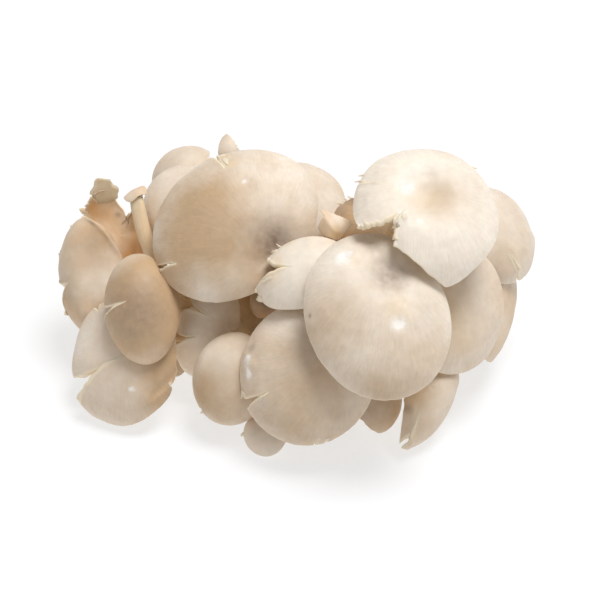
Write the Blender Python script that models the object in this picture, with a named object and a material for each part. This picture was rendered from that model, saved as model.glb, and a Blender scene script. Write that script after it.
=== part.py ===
"""Oyster mushroom cluster, resting on the cut face of its butt.

Each mushroom is one solid: a thin fan-shaped cap with gills raised from its underside, on its own stem.
The stems leave a common butt, which carries the stubs where they run together.
Metres, +Z up, origin at the centre of the cut face. -Y is the front and +X is to the right.
"""

from math import atan2, cos, degrees, exp, hypot, pi, radians, sin, sqrt, tau

import bmesh
import bpy
from mathutils import Matrix, Vector
from mathutils.noise import noise

MM = 0.001

# Flesh and gills, in millimetres, for a cap 60 mm long. Smaller caps have them in proportion.
FULL_LENGTH = 60
HEART_FLESH = 5.2
RIM_FLESH = 1.3
GILL_DEPTH = 3
SMALLEST_SCALE = 0.45
RINGS = (0.0, 0.28, 0.6, 0.86, 1.0)
LARGE_RINGS = (0.0, 0.22, 0.46, 0.7, 0.88, 1.0)

# The butt, its stubs and the stems, in millimetres. BUTT_CUT is how far below its middle it is cut, in radii.
BUTT_SIZE = (66, 50, 24)
BUTT_LUMPS = 2.5
LUMP_COUNT = 1.7
BUTT_CUT = 0.25
ROOT_HEIGHT = 13
ROOT_SPREAD = 0.33
ROOT_REACH = (24, 16)
STUB_GAP = 0.35
STUB_FLARE = 1.45
STUB_WAIST = 0.2
STEM_SIDES = 7

# Where the stem meets its cap: the share of its line where it starts to widen, by how much, and how deep it
# sinks.
STEM_NECK = 0.88
STEM_COLLAR = 1.15
STEM_SINK = 0.5

# How wide the funnel over the stem is, in half lengths, and how round a folded cap's crease, in half widths.
DIP_WIDTH = 0.3
FOLD_ROUND = 0.14

# How far around from a slit its lips are moved, in degrees, how much nearer the stem than its start a ring
# may be for the slit to begin there, and the bearing, in radians, by which a lip's vertices tell which side
# they are on.
SLIT_REACH = 50
RING_SLACK = 0.13
LIP_SIDE = 1e-4

CAP_COLOUR = (0.66, 0.55, 0.43, 1)
PALE_CAP_COLOUR = (0.84, 0.77, 0.66, 1)
DARK_CAP_COLOUR = (0.36, 0.29, 0.23, 1)
BUTT_COLOUR = (0.86, 0.80, 0.70, 1)

# Every mushroom, in millimetres and degrees. centre is the middle of the cap's top. lean is the bearing
# that the cap leans to, from +X towards +Y, and how far it leans from level. turn swings its length from
# straight downhill, and foot is where the stem meets it, in half lengths and half widths from the middle.
# bow is the arc from the middle to the rim, and drop is the height of that arc. dip is the funnel over the
# stem, and fold how far the cap bends down along its length. wave is the rise, count and phase of the rim's
# waves. A slit is its bearing around the stem from the cap's length, where it starts from stem to rim, how
# far it opens, and how far one lip stands above the other. A lobe is its bearing, its half width and how far
# it stands out of the oval rim. A torn edge is the bearings that it runs between, the bearing it faces and
# its distance from the stem. knee is the point that the stem's line bends towards, stem its radius, and free
# the share of that line that is in the butt's stub.
USUAL = dict(turn=0, foot=(-0.5, 0), bow=72, drop=9, dip=0, wave=(0.8, 3, 0), fold=0, slits=(),
             lobes=(), torn=(), columns=20, rings=RINGS, skin="cap_skin")

MUSHROOMS = {
    "top_left_large": dict(centre=(-26.5, 9.5, 90.5), lean=(-100, 29), turn=-126, foot=(-0.58, 0),
                           size=(63.5, 76), drop=15, dip=3, wave=(1.4, 3, 40),
                           slits=((-18, 0.62, 2.5, 2), (52, 0.72, 2, 1)), columns=36, rings=LARGE_RINGS,
                           knee=(4, 9, 54), stem=6.4, free=0.38),
    "front_right_large": dict(centre=(33.5, -42, 80), lean=(-85, 38), turn=15, foot=(-0.35, 0.24),
                              size=(69.5, 58), drop=13, dip=4, wave=(1.0, 3, 10), columns=36,
                              rings=LARGE_RINGS, knee=(36, 10, 59), stem=6.7, free=0.58),
    "top_right_large": dict(centre=(54, -7.4, 107.9), lean=(-78, 26), turn=24, foot=(-0.15, 0.01),
                            size=(60.5, 59), drop=12, dip=5, wave=(1.0, 4, 0),
                            slits=((220, 0.5, 3, 2), (280, 0.34, 20, -3)), lobes=((-16, 14, 4.5),),
                            torn=((-75, 0, -77, 20.4),), columns=36, rings=LARGE_RINGS, knee=(42, 18, 64),
                            stem=5.6, free=0.5),
    "front_large": dict(centre=(3.5, -44, 47.5), lean=(-100, 49), turn=-12, foot=(-0.31, 0.36),
                        size=(60, 56.5), drop=12, wave=(1.0, 3, 60),
                        slits=((-46, 0.6, 6, 2), (4, 0.8, 3, 1)), columns=36, rings=LARGE_RINGS,
                        knee=(24, -18, 38), stem=6, free=0.3),
    "left_shoulder": dict(centre=(-54, 33, 79.5), lean=(-140, 37), turn=-5, foot=(0.03, 0.37),
                          size=(38, 42.5), drop=10, knee=(-36, 28, 47), stem=5, free=0.42),
    "left_shoulder_back": dict(centre=(-56.2, 69.7, 75.2), lean=(165, 35), turn=-49, foot=(-0.8, -0.07),
                               size=(35.5, 30), drop=9, knee=(-22, 29, 58), stem=5, free=0.46),
    "behind_top_left": dict(centre=(7.5, 43, 76.5), lean=(-40, 26), turn=38, foot=(-0.13, -0.18),
                            size=(37.5, 40.5), drop=9, knee=(-4, 39, 51), stem=4.7, free=0.58),
    "left_folded": dict(centre=(-96, 18, 47.6), lean=(-130, 56), turn=34, foot=(-0.06, 0.32),
                        size=(52.5, 36), drop=9, dip=3, fold=5,
                        slits=((-74, 0.35, 9, 2), (-118, 0.75, 4, 2)), knee=(-58, 28, 39), stem=4.3,
                        free=0.54),
    "left_cupped": dict(centre=(-81.5, 43, 47), lean=(-85, 44), turn=187, foot=(0.1, -0.17),
                        size=(40.5, 26.5), drop=-7, wave=(1.6, 5, 0),
                        slits=((8, 0.6, 5, 3), (45, 0.75, 4, -2), (-40, 0.7, 4, 2)), lobes=((3, 14, 4.5),),
                        torn=((-45, 3, -70, 6.6),), knee=(-85, 53, 23), stem=4.5, free=0.3),
    "left_upright": dict(centre=(-69.4, 36, 80.6), lean=(150, 25), turn=-2, foot=(-0.2, 0.1),
                         size=(11.5, 12.5), drop=3, columns=12, knee=(-55, 7, 49), stem=2.4, free=0.3),
    "left_tongue": dict(centre=(-67, -16, 58.9), lean=(-100, 47), turn=14, foot=(-0.12, 0.25),
                        size=(47, 32), drop=13, bow=84, slits=((-83, 0.3, 5.5, 1.5),), knee=(-58, 23, 37),
                        stem=4.2, free=0.46),
    "left_low_split": dict(centre=(-77, -18.5, 32), lean=(-115, 49), turn=11, foot=(-0.1, 0.17),
                           size=(56, 49.5), drop=11, wave=(1.0, 5, 0),
                           slits=((-51, 0.3, 13, 2), (-135, 0.75, 3, 1), (45, 0.85, 3, 1)),
                           knee=(-65, 19, 24), stem=4.4, free=0.3),
    "inner_left_slit": dict(centre=(-38.5, -8, 38.5), lean=(-100, 55), turn=-14, foot=(-0.16, 0.6),
                            size=(43, 26.5), drop=9, bow=84, slits=((-100, 0.36, 5, 1), (-60, 0.46, 5, 1)),
                            knee=(-21, 0, 23), stem=4.3, free=0.54),
    "inner_left_low": dict(centre=(-53, -4.5, 19.5), lean=(-130, 58), turn=-9, foot=(-0.39, 0.22),
                           size=(16.5, 12.5), drop=4, columns=14, knee=(-36, 4, 22), stem=2.7, free=0.58),
    "front_left_round": dict(centre=(-27.5, -33, 33), lean=(-95, 53), turn=-11, foot=(-0.3, 0.03),
                             size=(40, 33.5), drop=11, bow=84, slits=((-25, 0.85, 3, 1),),
                             knee=(-13, -7, 30), stem=5, free=0.46),
    "front_low_button": dict(centre=(-13.5, -42.5, 11), lean=(-100, 52), turn=0, foot=(-0.32, -0.03),
                             size=(19, 18.5), drop=5, columns=14, knee=(-11, -25, 9), stem=3.2, free=0.58),
    "right_shoulder": dict(centre=(93, 24, 70.5), lean=(-30, 46), turn=7, foot=(-0.37, -0.37),
                           size=(45, 44.5), drop=11, slits=((-4, 0.42, 3, 1.5),), knee=(47, 7, 54),
                           stem=4.4, free=0.5),
    "right_front": dict(centre=(71, -17.5, 57.5), lean=(-60, 57), turn=-30, foot=(-0.21, -0.21),
                        size=(53.5, 47.5), drop=10, knee=(39, 7, 48), stem=4.3, free=0.62),
    "right_edge": dict(centre=(94, 13, 39), lean=(-20, 75), turn=-60, foot=(0.04, -0.45), size=(57.5, 37.5),
                       drop=8, knee=(51, 14, 46), stem=5, free=0.5),
    "front_right_folded": dict(centre=(59, -39, 21), lean=(-65, 66), turn=-48, foot=(-0.31, -0.54),
                               size=(39.5, 22.5), drop=8, fold=4, slits=((12, 0.3, 2.3, 2),),
                               lobes=((13, 12, 4),), torn=((-110, 12, -64, 7.4),), knee=(43, -6, 27),
                               stem=5, free=0.34),
    "front_right_shaded": dict(centre=(34, -32, 23.5), lean=(-85, 58), turn=2, foot=(0.02, 0.22),
                               size=(34, 23), drop=6, knee=(37, -15, 14), stem=4, free=0.46),
    "middle_torn": dict(centre=(1.4, -17.9, 80.8), lean=(-110, 40), turn=-56, foot=(-0.27, 0.07),
                        size=(40.5, 29), drop=8, slits=((-19, 0.33, 14, 2),), lobes=((12, 14, 3.5),),
                        skin="pale_cap_skin", knee=(18, 4, 56), stem=4.5, free=0.34),
    "middle_button": dict(centre=(-14.5, -2.5, 50.5), lean=(-110, 53), turn=-20, foot=(-0.26, 0.09),
                          size=(15, 12.5), drop=4.5, columns=14, skin="dark_cap_skin", knee=(-11, 12, 43),
                          stem=3, free=0.46),
    "middle_small_torn": dict(centre=(15.8, -1, 91.1), lean=(-90, 48), turn=-43, foot=(0, 0.05),
                              size=(13, 16.5), drop=4, slits=((28, 0.12, 13.4, 1),), columns=14,
                              skin="pale_cap_skin", knee=(15, 20, 61), stem=3.2, free=0.3),
    "middle_behind_torn": dict(centre=(29.5, 25.3, 74.7), lean=(-90, 28), turn=0, foot=(-0.1, 0),
                               size=(24, 27), drop=5, slits=((150, 0.55, 6, 2),), columns=14,
                               knee=(18, 32, 47), stem=3.4, free=0.42),
    "back_tab": dict(centre=(-28.5, 57, 88.5), lean=(-90, 32), turn=0, foot=(0.1, 0), size=(16, 11), drop=3,
                     lobes=((180, 25, 3),), columns=12, knee=(-21, 26, 71), stem=3.4, free=0.42),
    "left_pinhead": dict(centre=(-62.5, 21.5, 60.5), lean=(-90, 40), turn=4, foot=(0.17, -0.02),
                         size=(7.5, 7), drop=3, columns=12, knee=(-60, 37, 34), stem=2, free=0.58),
    "back_right": dict(centre=(46, 38, 44), lean=(40, 58), turn=10, size=(48, 42), drop=10, columns=18,
                       knee=(20, 18, 49), stem=4.5, free=0.62),
    "back_middle_right": dict(centre=(18.5, 54.5, 34), lean=(75, 60), turn=-8, size=(52, 46), drop=11,
                              slits=((20, 0.7, 4, 1),), columns=18, knee=(8, 25, 43), stem=5, free=0.58),
    "back_middle_left": dict(centre=(-16, 62, 48), lean=(108, 60), turn=8, size=(50, 44), drop=11,
                             columns=18, knee=(-14, 31, 57), stem=4.7, free=0.62),
    "back_left": dict(centre=(-51.8, 63.4, 26.8), lean=(145, 58), turn=-10, size=(46, 40), drop=10, columns=18,
                      knee=(-34, 35, 33), stem=5, free=0.34),
    "back_low": dict(centre=(3.1, 56.7, 16.5), lean=(90, 66), size=(26, 22), drop=6, columns=14, knee=(4, 32, 22),
                     stem=3.6, free=0.42),
}


def settings(name):
    """A mushroom's own values over the usual ones, with the sizes that follow from its length."""
    spec = {**USUAL, **MUSHROOMS[name]}
    length, width = spec["size"]
    spec["half_length"] = length / 2
    spec["half_width"] = width / 2
    spec["scale"] = max((length / FULL_LENGTH) ** 0.7, SMALLEST_SCALE)
    return spec


def placement(spec):
    """The cap's frame: +X down its fan, +Z out of its top, in metres, with its turn about +Z."""
    bearing, tilt = (radians(angle) for angle in spec["lean"])
    turn = Matrix.Rotation(radians(spec["turn"]), 4, "Z")
    lean = Matrix.Rotation(bearing, 4, "Z") @ Matrix.Rotation(tilt, 4, "Y")
    return Matrix.Translation(Vector(spec["centre"]) * MM) @ lean @ turn


def opened(spec, reach, bearing):
    """The bearing after each slit has pushed its own side open, in radians."""
    moved = bearing
    for slit_bearing, start, opening, _ in spec["slits"]:
        away = turned(bearing, slit_bearing)
        if reach <= start or abs(away) > SLIT_REACH:
            continue
        share = (reach - start) / (1 - start)
        fade = (1 - abs(away) / SLIT_REACH) ** 2
        moved += radians(opening) * share * fade * (1 if away > 0 else -1)
    return moved


def lip_step(spec, reach, bearing):
    """How far a slit's lips stand above or below the cap's own surface, in millimetres."""
    step = 0
    for slit_bearing, start, _, rise in spec["slits"]:
        away = turned(bearing, slit_bearing)
        if reach > start and abs(away) < SLIT_REACH:
            fade = (1 - abs(away) / SLIT_REACH) ** 3
            step += rise / 2 * (reach - start) / (1 - start) * fade * (1 if away > 0 else -1)
    return step


def rim_distance(spec, bearing):
    """From the stem to the rim of the cap's oval outline, with its lobes and torn edges, in millimetres."""
    across = cos(bearing) / spec["half_length"]
    along = sin(bearing) / spec["half_width"]
    foot_x, foot_y = spec["foot"]
    steepness = across**2 + along**2
    lean = foot_x * across + foot_y * along
    rim = (sqrt(lean**2 - steepness * (foot_x**2 + foot_y**2 - 1)) - lean) / steepness
    for lobe_bearing, half_width, height in spec["lobes"]:
        rim += height * exp(-((turned(bearing, lobe_bearing) / half_width) ** 2))
    for low, high, facing, distance in spec["torn"]:
        if low < turned(bearing, 0) < high:
            rim = min(rim, distance / cos(radians(turned(bearing, facing))))
    return rim


def turned(bearing, zero):
    """A bearing in radians as degrees from the bearing zero, between -180 and 180."""
    return (degrees(bearing) - zero + 180) % 360 - 180


def cap_point(spec, reach, bearing):
    """A point of the cap's top, in its own frame, in metres. reach is 0 at the stem and 1 at the rim."""
    a, b = spec["half_length"], spec["half_width"]
    swung = opened(spec, reach, bearing)
    distance = reach * rim_distance(spec, swung)
    x = distance * cos(swung) + spec["foot"][0] * a
    y = distance * sin(swung) + spec["foot"][1] * b
    out = hypot(x / a, y / b)
    bow = radians(spec["bow"])
    level = sin(min(bow, pi / 2))
    spread = sin(bow * out) / (out * level) if out > 0.01 else bow / level
    rise, count, phase = spec["wave"]
    z = spec["drop"] * (cos(bow * out) - 1) / (1 - cos(bow))
    z -= spec["dip"] * exp(-((distance / (DIP_WIDTH * a)) ** 2))
    z += rise * out**3 * sin(count * bearing + radians(phase))
    z -= spec["fold"] * (sqrt((y / b) ** 2 + FOLD_ROUND**2) - FOLD_ROUND)
    z += lip_step(spec, reach, bearing)
    return Vector((x * spread, y * spread, z)) * MM


def flesh(spec, reach):
    """The cap's thickness between its gills, in metres."""
    return spec["scale"] * (RIM_FLESH + (HEART_FLESH - RIM_FLESH) * (1 - reach) ** 1.5) * MM


def gill_depth(spec, reach):
    """How far a gill stands down from the flesh, in metres."""
    rising = min(reach / RINGS[1], 1)
    return spec["scale"] * GILL_DEPTH * rising * (1 - reach**2) * MM


def flat_cap(bm, spec):
    """A disc of rings and spokes, ripped along each slit, with each vertex's reach and bearing kept on it."""
    reach_of = bm.verts.layers.float.new("reach")
    bearing_of = bm.verts.layers.float.new("bearing")
    spoke = [bm.verts.new((ring, 0, 0)) for ring in spec["rings"]]
    edges = [bm.edges.new(pair) for pair in zip(spoke, spoke[1:])]
    bmesh.ops.spin(bm, geom=spoke + edges, cent=(0, 0, 0), axis=(0, 0, 1), angle=tau, steps=spec["columns"],
                   use_merge=True)
    bmesh.ops.remove_doubles(bm, verts=bm.verts, dist=1e-4)
    step = tau / spec["columns"]

    def column(vert):
        return round(atan2(vert.co.y, vert.co.x) / step) % spec["columns"]

    for slit in spec["slits"]:
        slit_column = round((radians(slit[0]) - first_bearing(spec)) / step) % spec["columns"]
        start = slit[1] - RING_SLACK
        lips = {vert for vert in bm.verts if column(vert) == slit_column and vert.co.length > start}
        bmesh.ops.split_edges(bm, edges=[edge for edge in bm.edges if lips.issuperset(edge.verts)])
    for vert in bm.verts:
        around = atan2(vert.co.y, vert.co.x) if vert.co.length > 0 else 0
        middle = sum((face.calc_center_median() for face in vert.link_faces), Vector())
        lean = (atan2(middle.y, middle.x) - around + pi) % tau - pi
        side = 0 if abs(lean) < step / 8 else (1 if lean > 0 else -1)
        vert[reach_of] = min(vert.co.length, 1)
        vert[bearing_of] = around + first_bearing(spec) + side * LIP_SIDE
    return reach_of, bearing_of


def first_bearing(spec):
    """The bearing of a cap's first spoke: its first slit, if it has any."""
    return radians(spec["slits"][0][0]) if spec["slits"] else 0


def snapped(spec):
    """The same mushroom with each slit moved to the nearest spoke."""
    step = tau / spec["columns"]
    first = first_bearing(spec)

    def nearest(bearing):
        return degrees(first + round((radians(bearing) - first) / step) * step)

    return {**spec, "slits": [(nearest(bearing), *rest) for bearing, *rest in spec["slits"]]}


def cap_solid(spec):
    """The cap with its gills, as one closed mesh in its own frame."""
    spec = snapped(spec)
    bm = bmesh.new()
    down_of = bm.verts.layers.float_vector.new("down")
    reach_of, bearing_of = flat_cap(bm, spec)
    for vert in bm.verts:
        vert.co = cap_point(spec, vert[reach_of], vert[bearing_of])
    bm.normal_update()
    for vert in bm.verts:
        vert[down_of] = -vert.normal
    top = bm.faces[:] + bm.edges[:] + bm.verts[:]
    grown = bmesh.ops.extrude_face_region(bm, geom=top, use_keep_orig=True)
    underside = [item for item in grown["geom"] if isinstance(item, bmesh.types.BMVert)]
    step = tau / spec["columns"]
    for vert in underside:
        reach = vert[reach_of]
        depth = flesh(spec, reach)
        if round((vert[bearing_of] - first_bearing(spec)) / step) % 2:
            depth += gill_depth(spec, reach)
        vert.co += vert[down_of] * depth
    bmesh.ops.recalc_face_normals(bm, faces=bm.faces)
    return bm


def within(value, reach):
    return max(-reach, min(value, reach))


def stem_line(spec):
    """A stem's root inside the butt, the point it bends towards and its end in the cap's flesh, in metres."""
    place = placement(spec)
    top = place @ cap_point(spec, 0, 0)
    end = top - place.to_3x3() @ Vector((0, 0, flesh(spec, 0) * STEM_SINK))
    knee = Vector(spec["knee"])
    root = Vector((within(knee.x * ROOT_SPREAD, ROOT_REACH[0]), within(knee.y * ROOT_SPREAD, ROOT_REACH[1]),
                   ROOT_HEIGHT))
    return root * MM, knee * MM, end


def on_line(line, share):
    """A point of a stem's line and its direction there."""
    root, knee, end = line
    left = 1 - share
    heading = (knee - root) * left + (end - knee) * share
    return root * left**2 + knee * 2 * left * share + end * share**2, heading


def tube_solid(line, shares, radii):
    """A round tube along the line, from the first of these shares to the last, flat at both ends."""
    bm = bmesh.new()
    place, heading = on_line(line, shares[0])
    turn = Vector((0, 0, 1)).rotation_difference(heading)
    frame = Matrix.LocRotScale(place, turn, Vector((radii[0],) * 3))
    disc = bmesh.ops.create_circle(bm, cap_ends=True, segments=STEM_SIDES, radius=1, matrix=frame)
    face = disc["verts"][0].link_faces[0]
    for share, radius in zip(shares[1:], radii[1:]):
        place, new_heading = on_line(line, share)
        turn = heading.rotation_difference(new_heading) @ turn
        heading = new_heading
        new_frame = Matrix.LocRotScale(place, turn, Vector((radius,) * 3))
        grown = bmesh.ops.extrude_face_region(bm, geom=[face], use_keep_orig=True)["geom"]
        if share != shares[1]:
            bmesh.ops.delete(bm, geom=[face], context="FACES_ONLY")
        verts = [item for item in grown if isinstance(item, bmesh.types.BMVert)]
        bmesh.ops.transform(bm, matrix=new_frame @ frame.inverted(), verts=verts)
        face = next(item for item in grown if isinstance(item, bmesh.types.BMFace))
        frame = new_frame
    bmesh.ops.recalc_face_normals(bm, faces=bm.faces)
    return bm


def stem_solid(spec):
    """The mushroom's own stem, from just above its stub into the cap, in the cluster's frame."""
    line = stem_line(spec)
    start = spec["free"] + STUB_GAP * MM / on_line(line, spec["free"])[1].length / 2
    neck = STEM_NECK
    shares = (start, (start * 2 + neck) / 3, (start + neck * 2) / 3, neck, 1)
    radius = spec["stem"] * MM
    return tube_solid(line, shares, (radius,) * 4 + (radius * STEM_COLLAR,))


def stub_solid(spec):
    """The stump of one stem, from inside the butt to where the mushroom stands free."""
    radius = spec["stem"] * MM
    free = spec["free"]
    shares = (0, min(free / 2, STUB_WAIST), free)
    radii = (radius * STUB_FLARE, radius * STEM_COLLAR, radius)
    return tube_solid(stem_line(spec), shares, radii)


def butt_solid():
    """The lump that the stems share, cut flat across its foot."""
    bm = bmesh.new()
    bmesh.ops.create_icosphere(bm, subdivisions=3, radius=1)
    width, depth, height = BUTT_SIZE
    for vert in bm.verts:
        lump = 1 + BUTT_LUMPS / height * noise(vert.co * LUMP_COUNT + Vector((3, 1, 5)))
        x, y, z = vert.co
        tall = (z + BUTT_CUT) / (1 + BUTT_CUT)
        vert.co = Vector((x * width / 2, y * depth / 2, tall * height)) * lump * MM
    everything = bm.verts[:] + bm.edges[:] + bm.faces[:]
    foot = bmesh.ops.bisect_plane(bm, geom=everything, dist=1e-6, plane_co=(0, 0, 0), plane_no=(0, 0, 1),
                                  clear_inner=True)
    rim = [item for item in foot["geom_cut"] if isinstance(item, bmesh.types.BMEdge)]
    bmesh.ops.edgenet_fill(bm, edges=rim)
    bmesh.ops.recalc_face_normals(bm, faces=bm.faces)
    return bm


def as_object(bm, name, collection):
    """The mesh as an object, and the bmesh freed."""
    mesh = bpy.data.meshes.new(name)
    bm.to_mesh(mesh)
    bm.free()
    mesh.shade_smooth()
    thing = bpy.data.objects.new(name, mesh)
    collection.objects.link(thing)
    return thing


def joined(body, others):
    """body made one solid with every object of the collection others, which are then removed."""
    union = body.modifiers.new("join", "BOOLEAN")
    union.operation = "UNION"
    union.solver = "MANIFOLD"
    union.operand_type = "COLLECTION"
    union.collection = others
    graph = bpy.context.evaluated_depsgraph_get()
    mesh = bpy.data.meshes.new_from_object(body.evaluated_get(graph))
    body.modifiers.clear()
    body.data = mesh
    for other in list(others.objects):
        bpy.data.objects.remove(other)


def material(name, colour, roughness):
    made = bpy.data.materials.new(name)
    made.use_nodes = True
    shader = made.node_tree.nodes["Principled BSDF"]
    shader.inputs["Base Color"].default_value = colour
    shader.inputs["Roughness"].default_value = roughness
    shader.inputs["Metallic"].default_value = 0
    return made


def clear_scene():
    for thing in list(bpy.data.objects):
        bpy.data.objects.remove(thing)


def build_mushroom(name, cluster, collection, helpers, materials):
    """One mushroom, cap and stem joined, placed by its cap's frame under the cluster's empty."""
    spec = settings(name)
    place = placement(spec)
    mushroom = as_object(cap_solid(spec), "mushroom_" + name, collection)
    stem_bm = stem_solid(spec)
    bmesh.ops.transform(stem_bm, matrix=place.inverted(), verts=stem_bm.verts)
    as_object(stem_bm, "stem", helpers)
    joined(mushroom, helpers)
    mushroom.data.materials.clear()
    mushroom.data.materials.append(materials[spec["skin"]])
    mushroom.parent = cluster
    mushroom.matrix_world = place


def build_butt(cluster, collection, helpers, materials):
    butt = as_object(butt_solid(), "butt", collection)
    for name in MUSHROOMS:
        as_object(stub_solid(settings(name)), "stub_" + name, helpers)
    joined(butt, helpers)
    butt.data.materials.clear()
    butt.data.materials.append(materials["butt_skin"])
    butt.parent = cluster


def main():
    clear_scene()
    scene = bpy.context.scene.collection
    collection = bpy.data.collections.new("oyster_mushroom_cluster")
    helpers = bpy.data.collections.new("helpers")
    scene.children.link(collection)
    scene.children.link(helpers)
    materials = {
        "cap_skin": material("cap_skin", CAP_COLOUR, 0.55),
        "pale_cap_skin": material("pale_cap_skin", PALE_CAP_COLOUR, 0.6),
        "dark_cap_skin": material("dark_cap_skin", DARK_CAP_COLOUR, 0.55),
        "butt_skin": material("butt_skin", BUTT_COLOUR, 0.8),
    }
    cluster = bpy.data.objects.new("cluster", None)
    collection.objects.link(cluster)
    for name in MUSHROOMS:
        build_mushroom(name, cluster, collection, helpers, materials)
    build_butt(cluster, collection, helpers, materials)


main()
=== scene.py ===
from math import atan2, cos, degrees, exp, hypot, pi, radians, sin, sqrt, tau

import bmesh
import bpy
from mathutils import Matrix, Vector
from mathutils.noise import noise


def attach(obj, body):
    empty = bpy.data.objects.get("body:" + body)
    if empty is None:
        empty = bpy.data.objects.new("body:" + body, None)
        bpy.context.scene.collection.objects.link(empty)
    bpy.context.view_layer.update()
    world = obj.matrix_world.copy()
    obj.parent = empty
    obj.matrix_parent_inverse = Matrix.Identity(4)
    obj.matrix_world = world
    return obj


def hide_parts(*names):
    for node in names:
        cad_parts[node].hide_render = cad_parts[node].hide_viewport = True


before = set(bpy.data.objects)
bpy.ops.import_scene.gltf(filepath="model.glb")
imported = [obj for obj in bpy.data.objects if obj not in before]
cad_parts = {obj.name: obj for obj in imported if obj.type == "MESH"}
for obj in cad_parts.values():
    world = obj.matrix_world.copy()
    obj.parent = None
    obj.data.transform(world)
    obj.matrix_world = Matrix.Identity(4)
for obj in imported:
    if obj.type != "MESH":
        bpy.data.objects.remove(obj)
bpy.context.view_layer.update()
print("frame loaded:", len(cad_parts), "nodes")

mm = 0.001  # the dictionaries are in millimetres and degrees

# fineness 1, 2 or 3: spokes around the cap, rings from stem to rim, rings down the stem
meshing = {1: (120, 22, 14), 2: (192, 36, 20), 3: (288, 48, 26)}

usual = dict(turn=0, foot=(-0.5, 0), bow=72, drop=9, dip=0, wave=(0.8, 3, 0), fold=0, slits=(), lobes=(),
             torn=(), dents=(), creases=(), spots=(), slivers=(), flare=0.55, shade=0.45, warm=0.2,
             fineness=2, slot="cap_skin")

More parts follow.
